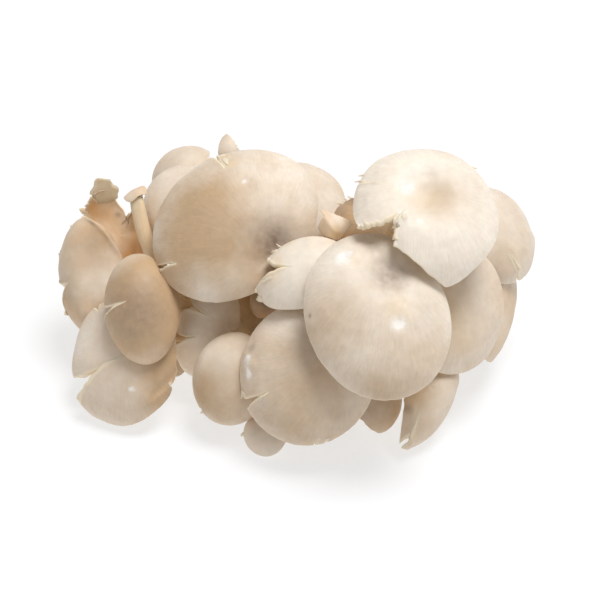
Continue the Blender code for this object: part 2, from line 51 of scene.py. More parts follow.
# centre is the middle of the cap's top, lean the way it faces and how far, turn the swing of its length,
# foot where the stem meets it. A place on a cap is a bearing around the stem and a reach from stem to rim.
# slits: bearing, start, opening and the step between the lips. lobes: bearing, half width and height.
# torn edges: from bearing, to bearing, the way they face and how far out. dents: place, size and depth.
# creases: from place, to place, width and height. slivers: place, heading, (length, width, thickness), lift.
# spots: kind, place, size and strength. The pale and deep spots are partly the caps' own tone and partly
# painted light on the tops and painted shade on the lower, shaded parts.
# shade is how deep a cap's tone is: partly its own colour and partly painted shade, set deeper on caps that
# lie in the shadow of others, such as front_right_shaded, left_tongue and middle_behind_torn
mushrooms = {
    "top_left_large": dict(
        centre=(-26.5, 9.5, 90.5), lean=(-100, 29), turn=-126, foot=(-0.58, 0), size=(63.5, 76), drop=15,
        dip=3, wave=(1.4, 3, 40), slits=((-18, 0.66, 1.6, 1.5), (52, 0.72, 2, 1)),
        dents=(((-48, 0.03), 9, 2.4), ((-24, 0.5), 3, 0.8), ((30, 0.5), 12, -1.2)),
        slivers=(((-18, 0.9), -80, (5, 3.4, 0.7), 0), ((-20, 0.8), 175, (7, 3, 0.7), 0)), knee=(4, 9, 54),
        stem=6.4, free=0.38, shade=0.72, fineness=3,
        # the dark spots at the stem are painted shade in the dip
        spots=(("dark", (-40, 0.04), 8, 0.75), ("dark", (-70, 0.12), 5, 0.4), ("gold", (-20, 0.86), 3, 1),
            ("gold", (-22, 0.7), 2.4, 0.9), ("bruiseAndHighlight", (-24, 0.5), 1.6, 0.6),
            ("bruiseAndHighlight", (-42, 0.65), 0.9, 0.8), ("pale", (-55, 0.8), 26, 0.75), ("pale", (-5, 1), 10, 0.5),
            ("deep", (20, 0.45), 15, 0.6), ("pale", (78, 0.65), 10, 0.45), ("deep", (75, 0.6), 12, 0.25),
            ("pale", (80, 0.9), 6, 0.3), ("pale", (35, 1), 6, 0.4))),
    "front_right_large": dict(
        centre=(33.5, -42, 80), lean=(-85, 38), turn=15, foot=(-0.35, 0.24), size=(69.5, 58), drop=13,
        dip=4, wave=(1, 3, 10), dents=(((-129, 0.53), 2.4, 0.9), ((9, 0.05), 6, 1.6), ((-9, 0.38), 2, 0.5)),
        creases=(((-177, 0.88), (-165, 0.15), 2.6, -0.9),), knee=(36, 10, 59), stem=6.7, free=0.58,
        shade=0.3, warm=0.1, fineness=3,
        # the two white bruises here are painted highlights
        spots=(("bruiseAndHighlight", (-129, 0.53), 3.4, 1.1), ("bruiseAndHighlight", (-9, 0.38), 2.8, 1),
            ("gold", (-6, 0.28), 4.5, 0.5), ("gold", (-126, 0.38), 2.5, 0.4), ("dark", (9, 0.05), 5.5, 0.8),
            ("dark", (-81, 0.88), 0.7, 1.2), ("deep", (-70, 0.8), 13, 0.45), ("deep", (-20, 0.9), 13, 0.45),
            ("pale", (-120, 0.75), 12, 0.3))),
    "top_right_large": dict(
        centre=(54, -7.4, 107.9), lean=(-78, 26), turn=24, foot=(-0.15, 0.01), size=(60.5, 59), drop=12,
        dip=5, wave=(1, 4, 0), slits=((220, 0.5, 3, 2), (280, 0.34, 20, -3)), lobes=((-16, 14, 4.5),),
        torn=((-75, 0, -77, 20.4),), dents=(((30, 0.12), 7, 1),),
        slivers=(((-150, 0.98), 0, (4.5, 1.1, 0.5), 0.6), ((-143, 1), 20, (3.5, 0.9, 0.5), 0.8),
            ((94, 1), -10, (3.5, 1.5, 0.5), 0.9), ((-72, 0.5), 20, (5, 3, 0.6), -1.2)), knee=(42, 18, 64),
        stem=5.6, free=0.5, shade=0.02, warm=0.1, fineness=3,
        spots=(("bruiseAndHighlight", (-150, 0.2), 3.6, 0.8), ("bruiseAndHighlight", (-40, 0.42), 1.4, 0.7),
            ("gold", (20, 0.1), 7, 0.35), ("deep", (60, 0.3), 8, 0.35), ("deep", (20, 0.15), 6, 0.3))),
    "front_large": dict(
        centre=(3.5, -44, 47.5), lean=(-100, 49), turn=-12, foot=(-0.31, 0.36), size=(60, 56.5), drop=12,
        wave=(1, 3, 60), slits=((-46, 0.62, 3, 1.5), (4, 0.84, 1, 0.8), (10, 0.88, 0.8, 0.5)),
        creases=(((-75, 0.98), (-66, 0.74), 1.6, 0.7),),
        slivers=(((-48, 0.94), -60, (4, 1.8, 0.7), 0.4), ((-50, 1), 60, (4, 1.6, 0.7), 0.5),
            ((-46, 0.7), 20, (4, 1.2, 0.6), -0.4)), knee=(24, -18, 38), stem=6, free=0.3, fineness=3,
        spots=(("bruiseAndHighlight", (-69, 0.86), 2.6, 1), ("bruiseAndHighlight", (-60, 0.82), 2, 0.8),
            ("dark", (-78, 0.84), 2, 0.5), ("deep", (-20, 0.8), 14, 0.4), ("pale", (-110, 0.8), 10, 0.5),
            ("dark", (-76, 0.32), 9, 0.22))),
    "left_shoulder": dict(
        centre=(-54, 33, 79.5), lean=(-140, 37), turn=-5, foot=(0.03, 0.37), size=(38, 42.5), drop=10,
        knee=(-36, 28, 47), stem=5, free=0.42, shade=0.25, warm=0.25,
        spots=(("dark", (-27, 0.15), 0.9, 1), ("pale", (-100, 0.6), 8, 0.4))),
    "left_shoulder_back": dict(
        centre=(-56.2, 69.7, 75.2), lean=(165, 35), turn=-49, foot=(-0.8, -0.07), size=(35.5, 30),
        knee=(-22, 29, 58), stem=5, free=0.46, shade=0.3, warm=0.25),
    "behind_top_left": dict(
        centre=(7.5, 43, 76.5), lean=(-40, 26), turn=38, foot=(-0.13, -0.18), size=(37.5, 40.5),
        knee=(-4, 39, 51), stem=4.7, free=0.58, shade=0.25, spots=(("gold", (39, 0.9), 4, 0.4),)),
    "left_folded": dict(
        centre=(-96, 18, 47.6), lean=(-130, 56), turn=34, foot=(-0.06, 0.32), size=(52.5, 36), dip=3,
        fold=5, slits=((-74, 0.4, 20, 1), (-118, 0.75, 4, 2)), dents=(((168, 0.55), 6, 1.5),),
        creases=(((-177, 1), (174, 0.98), 2.5, 1.5), ((174, 0.98), (108, 1.1), 2.5, 1.5)),
        slivers=(((-132, 0.98), 10, (4, 2, 0.7), 0.8), ((-105, 0.98), -20, (3.5, 1.8, 0.7), 0.6),
            ((-150, 0.99), 20, (3, 1.6, 0.6), 0.8)), knee=(-58, 28, 39), stem=4.3, free=0.54, shade=0.38,
        warm=0.5,
        spots=(("dark", (168, 0.6), 6, 0.35), ("deep", (168, 0.6), 9, 0.6), ("deep", (-60, 0.7), 14, 0.6),
            ("gold", (-132, 0.9), 3, 0.8), ("gold", (-105, 0.85), 3, 0.6))),
    "left_cupped": dict(
        centre=(-81.5, 43, 47), lean=(-85, 44), turn=187, foot=(0.1, -0.17), size=(40.5, 26.5), drop=-7,
        wave=(1.6, 5, 0), slits=((20, 0.72, 3, 2), (48, 0.7, 3, 2)), lobes=((3, 19, 4.5),),
        torn=((-45, 3, -70, 6.6),),
        slivers=(((4, 0.68), 5, (17, 13, 1.2), 1.5), ((45, 0.95), 0, (5, 3, 0.7), 1),
            ((62, 0.97), -30, (5, 2.4, 0.7), 1), ((80, 0.98), -40, (4, 2, 0.7), 0.8),
            ((30, 0.98), 40, (4, 2, 0.7), 1)), knee=(-85, 53, 23), stem=4.5, free=0.3, shade=0.3, warm=3,
        spots=(("dark", (10, 0.72), 2.5, 0.9), ("dark", (-12, 0.6), 1.2, 0.9), ("pale", (10, 0.95), 7, 0.9),
            ("gold", (-60, 0.6), 10, 0.5), ("gold", (60, 1), 8, 0.4))),
    "left_upright": dict(
        centre=(-69.4, 36, 80.6), lean=(150, 25), turn=-2, foot=(-0.2, 0.1), size=(10, 11), drop=2,
        knee=(-66, 12, 49), stem=2.5, free=0.3, flare=1.1, shade=0.35, warm=0.8, fineness=1),
    "left_tongue": dict(
        centre=(-66.3, -16, 58.9), lean=(-100, 47), turn=14, foot=(-0.12, 0.25), size=(47, 32), drop=13,
        bow=84, slits=((-83, 0.3, 8, 1.5),), lobes=((95, 32, 3),), knee=(-58, 23, 37), stem=4.2, free=0.46,
        shade=0.95, warm=0.4,
        spots=(("dark", (-60, 0.2), 10, 0.4), ("dark", (-30, 0.2), 8, 0.35), ("deep", (-30, 0.35), 15, 0.8),
            ("pale", (-12, 0.75), 11, 0.75), ("pale", (-150, 0.9), 9, 0.5))),
    "left_low_split": dict(
        centre=(-77, -18.5, 32), lean=(-115, 49), turn=11, foot=(-0.1, 0.17), size=(56, 49.5), drop=11,
        wave=(1, 5, 0), slits=((-55, 0.08, 13, 3.5), (-135, 0.75, 3, 1), (60, 0.85, 1.5, 1)),
        lobes=((-38, 10, 6.5), (-70, 8, 1.5)), creases=(((30, 0.8), (60, 1), 1.5, 1),
            ((40, 0.7), (75, 0.95), 1.5, -1)), knee=(-65, 19, 24), stem=4.4, free=0.3, shade=0.5, warm=0.35,
        spots=(("bruiseAndHighlight", (15, 0.43), 1.5, 0.8), ("deep", (48, 0.9), 9, 0.7), ("deep", (81, 0.8), 8, 0.7),
            ("pale", (-100, 0.5), 14, 0.5))),
    "inner_left_slit": dict(
        centre=(-39.1, -8, 38.5), lean=(-100, 55), turn=-14, foot=(-0.16, 0.6), size=(43, 26.5), bow=84,
        slits=((-100, 0.36, 8, 1), (-60, 0.46, 9, 1)), lobes=((-80, 14, 1.5),), knee=(-21, 0, 23), stem=4.3,
        free=0.54, shade=0, warm=0.4, spots=(("dark", (-90, 0.15), 5, 0.3),)),
    "inner_left_low": dict(
        centre=(-53, -4.5, 19.5), lean=(-130, 58), turn=-9, foot=(-0.39, 0.22), size=(16.5, 12.5), drop=4,
        knee=(-36, 4, 22), stem=2.7, free=0.58, shade=0.85, fineness=1),
    "front_left_round": dict(
        centre=(-27.5, -33, 33), lean=(-95, 53), turn=-11, foot=(-0.3, 0.03), size=(40, 33.5), drop=11,
        bow=84, slits=((-25, 0.85, 3, 1),), slivers=(((-24, 0.97), -30, (2.5, 1.2, 0.6), 0.8),),
        knee=(-13, -7, 30), stem=5, free=0.46, shade=0.56,
        spots=(("deep", (-30, 0.6), 10, 0.35), ("pale", (-110, 0.8), 8, 0.4))),
    "front_low_button": dict(
        centre=(-13.5, -42.5, 11), lean=(-100, 52), foot=(-0.32, -0.03), size=(19, 18.5), drop=5,
        slivers=(((-66, 0.98), 10, (3, 2, 0.6), 0.8),), knee=(-11, -25, 9), stem=3.2, free=0.58, shade=0.42,
        fineness=1),
    "right_shoulder": dict(
        centre=(93, 24, 70.5), lean=(-30, 46), turn=7, foot=(-0.37, -0.37), size=(45, 44.5), drop=11,
        slits=((-4, 0.42, 1.6, 1.5),), dents=(((42, 0.92), 3, -1),),
        creases=(((6, 0.43), (-3, 0.73), 1.6, 1), ((-3, 0.73), (-9, 1.05), 1.6, 1)),
        slivers=(((42, 0.98), 0, (2.6, 1.8, 0.8), 0.6),), knee=(47, 7, 54), stem=4.4, free=0.5, shade=0.28,
        warm=0.15,
        spots=(("bruiseAndHighlight", (-4, 0.6), 1.2, 0.5), ("gold", (0, 0.5), 6, 0.3), ("deep", (-30, 0.7), 8, 0.4))),
    "right_front": dict(
        centre=(71, -17.5, 57.5), lean=(-60, 57), turn=-30, foot=(-0.21, -0.21), size=(53.5, 47.5), drop=10,
        knee=(39, 7, 48), stem=4.3, free=0.62, shade=0.4, warm=0.3,
        spots=(("gold", (-20, 0.35), 8, 0.5), ("gold", (20, 0.5), 6, 0.3), ("bruiseAndHighlight", (-60, 0.75), 3, 0.3))),
    "right_edge": dict(
        centre=(94, 13, 39), lean=(-20, 75), turn=-60, foot=(0.04, -0.45), size=(57.5, 37.5), drop=8,
        dents=(((0, 0.95), 5, 1.2),), knee=(51, 14, 46), stem=5, free=0.5, shade=0.5, warm=0.4,
        spots=(("gold", (10, 0.6), 8, 0.5),)),
    "front_right_folded": dict(
        centre=(59, -39, 21), lean=(-65, 66), turn=-48, foot=(-0.31, -0.54), size=(39.5, 22.5), drop=8,
        fold=4, slits=((12, 0.3, 1.6, 2),), lobes=((13, 12, 4),), torn=((-110, 12, -64, 7.4),),
        creases=(((-9, 0.68), (21, 1.25), 1.5, 1.2),), knee=(43, -6, 27), stem=5, free=0.34, warm=0.25,
        spots=(("gold", (-30, 0.6), 6, 0.5), ("dark", (-9, 0.88), 1.6, 0.8))),
    "front_right_shaded": dict(
        centre=(34, -32, 23.5), lean=(-85, 58), turn=2, foot=(0.02, 0.22), size=(34, 23), drop=6,
        lobes=((-3, 14, 3), (60, 22, 1.8)), torn=((-60, -3, -55, 11.9), (-3, 21, 31, 17),
            (21, 110, 75, 10.3)), knee=(37, -15, 14), stem=4, free=0.46, shade=0.65,
        spots=(("dark", (-60, 0.5), 8, 0.5),)),
    "middle_torn": dict(
        centre=(1.4, -17.9, 80.8), lean=(-110, 40), turn=-56, foot=(-0.27, 0.07), size=(40.5, 29), drop=8,
        slits=((-19, 0.3, 16, 2),), lobes=((12, 14, 3.5),),
        slivers=(((-38, 0.93), 10, (6, 3, 0.8), 0.3), ((-50, 0.98), 10, (3.5, 0.9, 0.5), 2),
            ((-2, 0.93), -30, (6, 3.5, 0.8), 0.3), ((-12, 0.6), -10, (6, 1.6, 0.7), 0.3)), knee=(18, 4, 56),
        stem=4.5, free=0.34, shade=0.05, slot="pale_cap_skin",
        spots=(("gold", (-19, 0.6), 4, 0.6), ("gold", (-60, 0.95), 3, 0.5))),
    "middle_button": dict(
        centre=(-14.5, -2.5, 50.5), lean=(-110, 53), turn=-20, foot=(-0.26, 0.09), size=(15, 12.5),
        drop=4.5, knee=(-11, 12, 43), stem=3, free=0.46, shade=1, warm=0.9, fineness=1,
        slot="dark_cap_skin",
        spots=(("dark", (93, 0.28), 2, 1), ("dark", (-60, 0.4), 5, 0.6), ("dark", (90, 0.6), 6, 0.4))),
    "middle_small_torn": dict(
        centre=(15.8, -1, 91.1), lean=(-90, 48), turn=-43, foot=(0, 0.05), size=(13, 16.5), drop=4, bow=40,
        torn=((-87, -27, -79, 5.3), (-27, 51, 21, 5.7), (51, 129, 88, 5.3), (129, 180, -157, 3.6),
            (-180, -87, -157, 3.6)), creases=(((-87, 0.9), (40, 0.5), 1.2, 0.6),), knee=(15, 20, 61),
        stem=3.2, free=0.3, shade=0.12, warm=1, fineness=1, slot="pale_cap_skin",
        spots=(("gold", (60, 0.8), 3, 0.8), ("gold", (20, 0.5), 3, 0.5))),
    "middle_behind_torn": dict(
        centre=(29.5, 25.3, 74.7), lean=(-90, 28), foot=(-0.1, 0), size=(24, 27), drop=5,
        slits=((150, 0.55, 6, 2),),
        slivers=(((-152, 0.95), 10, (5, 1.6, 0.6), 1.5), ((-140, 0.95), -10, (4, 1.4, 0.6), 1),
            ((-125, 0.9), 10, (4, 1.6, 0.6), 1)), knee=(18, 32, 47), stem=3.4, free=0.42, shade=1, warm=1.5,
        fineness=1,
        spots=(("dark", (-150, 0.8), 3, 0.8), ("dark", (-100, 0.6), 9, 0.5))),
    "back_tab": dict(
        centre=(-28.5, 57, 88.5), lean=(-90, 32), foot=(0.1, 0), size=(16, 11), drop=3,
        lobes=((180, 25, 3),), torn=((-162, -78, -100, 5.1), (90, 180, 122, 2.7), (-180, -162, 122, 2.7)),
        knee=(-21, 26, 71), stem=3.4, free=0.42, shade=0.3, warm=0.3, fineness=1),
    "left_pinhead": dict(
        centre=(-62.5, 21.5, 60.5), lean=(-90, 40), turn=4, foot=(0.17, -0.02), size=(7.5, 7), drop=3,
        knee=(-60, 37, 34), stem=2, free=0.58, shade=0.4, warm=0.4, fineness=1),
    "back_right": dict(
        centre=(46, 38, 44), lean=(40, 58), turn=10, size=(48, 42), drop=10, knee=(20, 18, 49), stem=4.5,
        free=0.62),
    "back_middle_right": dict(
        centre=(18.5, 54.5, 34), lean=(75, 60), turn=-8, size=(52, 46), drop=11, slits=((20, 0.7, 4, 1),),
        knee=(8, 25, 43), stem=5, free=0.58, shade=0.5),
    "back_middle_left": dict(
        centre=(-16, 62, 48), lean=(108, 60), turn=8, size=(50, 44), drop=11, knee=(-14, 31, 57), stem=4.7,
        free=0.62, shade=0.42),
    "back_left": dict(
        centre=(-51.8, 63.4, 26.8), lean=(145, 58), turn=-10, size=(46, 40), drop=10, knee=(-34, 35, 33),
        stem=5, free=0.34, shade=0.5),
    "back_low": dict(
        centre=(3.1, 56.7, 16.5), lean=(90, 66), size=(26, 22), drop=6, knee=(4, 32, 22), stem=3.6,
        free=0.42, warm=0.25, fineness=1),
}

# a cap of fullLength has flesh of heart at the stem and rim at its rim, and a smaller cap has less
flesh = dict(fullLength=60, growth=0.7, smallest=0.45, heart=5.2, rim=1.3, thinning=1.5, roundRim=0.25,
             roundLip=0.12, wallCuts=3)
gills = dict(deep=3, starts=(0, 0.55, 0.3, 0.7), rise=0.2)
capShape = dict(nicks=((0.012, 4), (0.008, 17)), nickFade=6, lumps=((0.9, 0.07), (0.3, 0.2)), dipReach=0.3,
                waveFade=3, foldRound=0.02, foldTop=0.14, crowding=1.25, tornRag=0.6, tornPace=9)
slitShape = dict(reach=50, gentle=4, ragged=0.35, ragPace=14, ragFade=8, stepFade=3, curl=0.7, curlFade=26,
                 curlRise=4, lip=1.1, lipPace=5, lipFade=14)
stemShape = dict(rootHeight=13, rootSpread=0.33, rootReach=(24, 16), sink=0.5, neck=3, neckReach=(0.12, 0.5),
                 start=0.97, overlap=0.04, crowding=0.9, blend=0.3, flareFade=0.16, lump=0.07,
                 lumpPace=(1.3, 5), grain=0.12, grainPace=(9, 3), ridge=0.06, ridgeFade=0.1)
sliverShape = dict(rooted=0.2, root=1.05, taper=0.5, ragged=0.6, ragPace=2.5, rough=0.3)


def grown(name):
    # a mushroom's own values over the usual ones
    spec = {**usual, **mushrooms[name]}
    length, width = spec["size"]
    spec["name"] = name
    spec["halfLength"] = length / 2
    spec["halfWidth"] = width / 2
    spec["thick"] = max((length / flesh["fullLength"]) ** flesh["growth"], flesh["smallest"])
    spokes = meshing[spec["fineness"]][0]  # a slit lies on a spoke
    spec["slits"] = [(round(slit[0] * spokes / 360) * 360 / spokes, *slit[1:]) for slit in spec["slits"]]
    spec["salt"] = Vector((sum(map(ord, name)) % 97, len(name) * 3.7, 0))  # so that no two are lumpy alike
    return spec


def placement(spec):
    bearing, tilt = (radians(angle) for angle in spec["lean"])
    lean = Matrix.Rotation(bearing, 4, "Z") @ Matrix.Rotation(tilt, 4, "Y")
    swing = Matrix.Rotation(radians(spec["turn"]), 4, "Z")
    return Matrix.Translation(Vector(spec["centre"]) * mm) @ lean @ swing


def awayFrom(bearing, zero):
    return (bearing - radians(zero) + pi) % tau - pi


def opened(spec, reach, bearing):
    # each slit pushes its own side open, with a ragged edge close to it
    moved = bearing
    for zero, start, opening, _ in spec["slits"]:
        away = awayFrom(bearing, zero)
        wide = radians(max(slitShape["reach"], slitShape["gentle"] * opening))
        if reach <= start or abs(away) > wide:
            continue
        share = (reach - start) / (1 - start)
        fade = (1 - abs(away) / wide) ** 2
        side = 1 if away > 0 else -1
        rag = slitShape["ragged"] * noise(Vector((reach * slitShape["ragPace"], side * 5, zero)))
        moved += radians(opening) * share * fade * side * (1 + rag * fade ** slitShape["ragFade"])
    return moved


def lipStep(spec, reach, bearing):
    # one lip stands over the other, and both curl up close to the slit
    step = 0
    wide = radians(slitShape["reach"])
    for zero, start, _, height in spec["slits"]:
        away = awayFrom(bearing, zero)
        if reach > start and abs(away) < wide:
            near = 1 - abs(away) / wide
            share = (reach - start) / (1 - start)
            lump = noise(Vector((reach * slitShape["lipPace"], zero, away)))
            step += height / 2 * share * near ** slitShape["stepFade"] * (1 if away > 0 else -1)
            rising = min(share * slitShape["curlRise"], 1)
            step += slitShape["curl"] * spec["thick"] * near ** slitShape["curlFade"] * rising
            step += slitShape["lip"] * share * near ** slitShape["lipFade"] * lump
    return step


def turned(bearing, zero):
    # from a bearing in radians to degrees from zero, -180 to 180
    return (degrees(bearing) - zero + 180) % 360 - 180


def fanPoint(spec, at):
    # a bearing and a reach on the cap, as millimetres from its stem
    bearing = radians(at[0])
    distance = at[1] * rimDistance(spec, bearing)
    return Vector((distance * cos(bearing), distance * sin(bearing)))


def fromLine(point, start, end):
    along = end - start
    share = min(max((point - start).dot(along) / along.length_squared, 0), 1)
    return (point - start - along * share).length


def rimDistance(spec, bearing):
    # from the stem to the oval rim, with its lobes and the straight edges where it is torn off
    across = cos(bearing) / spec["halfLength"]
    along = sin(bearing) / spec["halfWidth"]
    footX, footY = spec["foot"]
    steep = across**2 + along**2
    lean = footX * across + footY * along
    rim = (sqrt(lean**2 - steep * (footX**2 + footY**2 - 1)) - lean) / steep
    for lobeBearing, halfWidth, height in spec["lobes"]:
        rim += height * exp(-((turned(bearing, lobeBearing) / halfWidth) ** 2))
    for low, high, facing, distance in spec["torn"]:
        if low < turned(bearing, 0) < high:
            place = Vector((degrees(bearing) / capShape["tornPace"], facing, 0))
            ragged = capShape["tornRag"] * noise(place)
            rim = min(rim, (distance + ragged) / cos(radians(turned(bearing, facing))))
    return rim


def capPoint(spec, reach, bearing):
    a, b = spec["halfLength"], spec["halfWidth"]
    salt = spec["salt"]
    swung = opened(spec, reach, bearing)
    around = Vector((cos(swung), sin(swung), 0))
    nicks = sum(size * noise(around * pace + salt) for size, pace in capShape["nicks"])
    distance = reach * rimDistance(spec, swung) * (1 + reach ** capShape["nickFade"] * nicks)
    x = distance * around.x + spec["foot"][0] * a
    y = distance * around.y + spec["foot"][1] * b
    out = hypot(x / a, y / b)
    bow = radians(spec["bow"])
    level = sin(min(bow, pi / 2))
    spread = sin(bow * out) / (out * level) if out > 0.01 else bow / level
    rise, count, phase = spec["wave"]
    z = spec["drop"] * (cos(bow * out) - 1) / (1 - cos(bow))
    z -= spec["dip"] * exp(-((distance / (capShape["dipReach"] * a)) ** 2))
    z += rise * out ** capShape["waveFade"] * sin(count * bearing + radians(phase))
    z -= spec["fold"] * (sqrt((y / b) ** 2 + capShape["foldRound"]) - capShape["foldTop"])
    z += lipStep(spec, reach, bearing)
    here = Vector((distance * around.x, distance * around.y))
    for at, size, depth in spec["dents"]:
        z -= depth * exp(-(((here - fanPoint(spec, at)).length / size) ** 2))
    for start, end, width, height in spec["creases"]:
        z += height * exp(-((fromLine(here, fanPoint(spec, start), fanPoint(spec, end)) / width) ** 2))
    z += sum(size * noise(Vector((x, y, 0)) * pace + salt) for size, pace in capShape["lumps"])
    return Vector((x * spread, y * spread, z)) * mm


def fleshAt(spec, reach):
    left = max(1 - reach, 0)
    heart, rim = flesh["heart"], flesh["rim"]
    return spec["thick"] * (rim + (heart - rim) * left ** flesh["thinning"]) * mm


def gillAt(spec, reach, column):
    # every second spoke is a gill, and the short ones start further out
    if column % 2 == 0:
        return 0
    start = gills["starts"][column // 2 % len(gills["starts"])]
    rising = min(max((reach - start) / gills["rise"], 0), 1)
    return spec["thick"] * gills["deep"] * rising * max(1 - reach**3, 0) * mm


def stemLine(spec):
    # from a root in the butt, past a knee, to the flesh of the cap
    place = placement(spec)
    knee = Vector(spec["knee"]) * mm
    sunk = Vector((0, 0, fleshAt(spec, 0) * stemShape["sink"]))
    end = place @ capPoint(spec, 0, 0) - place.to_3x3() @ sunk
    root = Vector((0, 0, stemShape["rootHeight"]))
    for axis, reach in enumerate(stemShape["rootReach"]):
        root[axis] = max(-reach, min(spec["knee"][axis] * stemShape["rootSpread"], reach))
    return root * mm, knee, end


def onLine(line, share):
    # the point at a share of the line, and the way the line goes there
    root, knee, end = line
    left = 1 - share
    point = root * left**2 + knee * 2 * left * share + end * share**2
    return point, (knee - root) * left + (end - knee) * share


def ringReaches(rings):
    return [1 - (1 - ring / rings) ** capShape["crowding"] for ring in range(rings + 1)]


def flatFan(fineness):
    # a flat fan of spokes, whose rings are closer together towards the rim
    spokes, rings, _ = meshing[fineness]
    bm = bmesh.new()
    for word in ("reach", "bearing", "under", "lip", "share", "toneAndPaintedLight"):
        bm.verts.layers.float.new(word)
    for word in ("down", "ray", "zone", "marksAndPaintedLight"):
        bm.verts.layers.float_vector.new(word)
    columnOf = bm.verts.layers.int.new("column")
    line = [bm.verts.new((reach, 0, 0)) for reach in ringReaches(rings)]
    edges = [bm.edges.new(pair) for pair in zip(line, line[1:])]
    bmesh.ops.spin(bm, geom=line + edges, cent=(0, 0, 0), axis=(0, 0, 1), angle=tau, steps=spokes,
                   use_merge=True)
    bmesh.ops.remove_doubles(bm, verts=bm.verts, dist=1e-6)
    for vert in bm.verts:
        vert[columnOf] = round(atan2(vert.co.y, vert.co.x) / tau * spokes) % spokes
    return bm


fans = {fineness: flatFan(fineness) for fineness in meshing}


def growCap(spec):
    spokes, rings, _ = meshing[spec["fineness"]]
    step = tau / spokes
    bm = fans[spec["fineness"]].copy()
    layer = bm.verts.layers.float
    reachOf, bearingOf, underOf, lipOf = (layer[word] for word in ("reach", "bearing", "under", "lip"))
    downOf = bm.verts.layers.float_vector["down"]
    columnOf = bm.verts.layers.int["column"]

    # each slit is ripped open along its spoke
    lips = set()
    for slit in spec["slits"]:
        column = round(radians(slit[0]) / step) % spokes
        nearest = slit[1] - 0.5 / rings
        ripped = {vert for vert in bm.verts if vert[columnOf] == column and vert.co.length > nearest}
        between = [edge for edge in bm.edges if ripped.issuperset(edge.verts)]
        bmesh.ops.split_edges(bm, edges=between)
        lips |= {vert for vert in bm.verts if vert[columnOf] == column and vert.co.length > nearest}

    for vert in bm.verts:
        around = atan2(vert.co.y, vert.co.x) if vert.co.length > 0 else 0
        side = 0
        if vert in lips:
            middle = sum((face.calc_center_median() for face in vert.link_faces), Vector())
            lean = (atan2(middle.y, middle.x) - around + pi) % tau - pi
            side = 0 if abs(lean) < step / 8 else (1 if lean > 0 else -1)
        vert[reachOf] = min(vert.co.length, 1)
        vert[bearingOf] = around + side * 1e-4
        vert[lipOf] = 1 if side else 0

    for vert in bm.verts:
        vert.co = capPoint(spec, vert[reachOf], vert[bearingOf])
    bm.normal_update()
    for vert in bm.verts:
        vert[downOf] = -vert.normal

    # the underside, with gills on its spokes
    top = set(bm.verts)
    everything = bm.faces[:] + bm.edges[:] + bm.verts[:]
    doubled = bmesh.ops.extrude_face_region(bm, geom=everything, use_keep_orig=True)
    under = {item for item in doubled["geom"] if isinstance(item, bmesh.types.BMVert)}
    for vert in under:
        reach = vert[reachOf]
        vert.co += vert[downOf] * (fleshAt(spec, reach) + gillAt(spec, reach, vert[columnOf]))
        vert[underOf] = 1
    bmesh.ops.recalc_face_normals(bm, faces=bm.faces)

    # rounded rims and lips
    walls = [edge for edge in bm.edges if (edge.verts[0] in top) != (edge.verts[1] in top)]
    bmesh.ops.subdivide_edges(bm, edges=walls, cuts=flesh["wallCuts"])
    bm.normal_update()
    for vert in bm.verts:
        if 0.01 < vert[underOf] < 0.99:
            bulge = fleshAt(spec, vert[reachOf]) * flesh["roundRim" if vert[lipOf] < 0.5 else "roundLip"]
            vert.co += vert.normal * bulge * sin(pi * vert[underOf])
    return bm


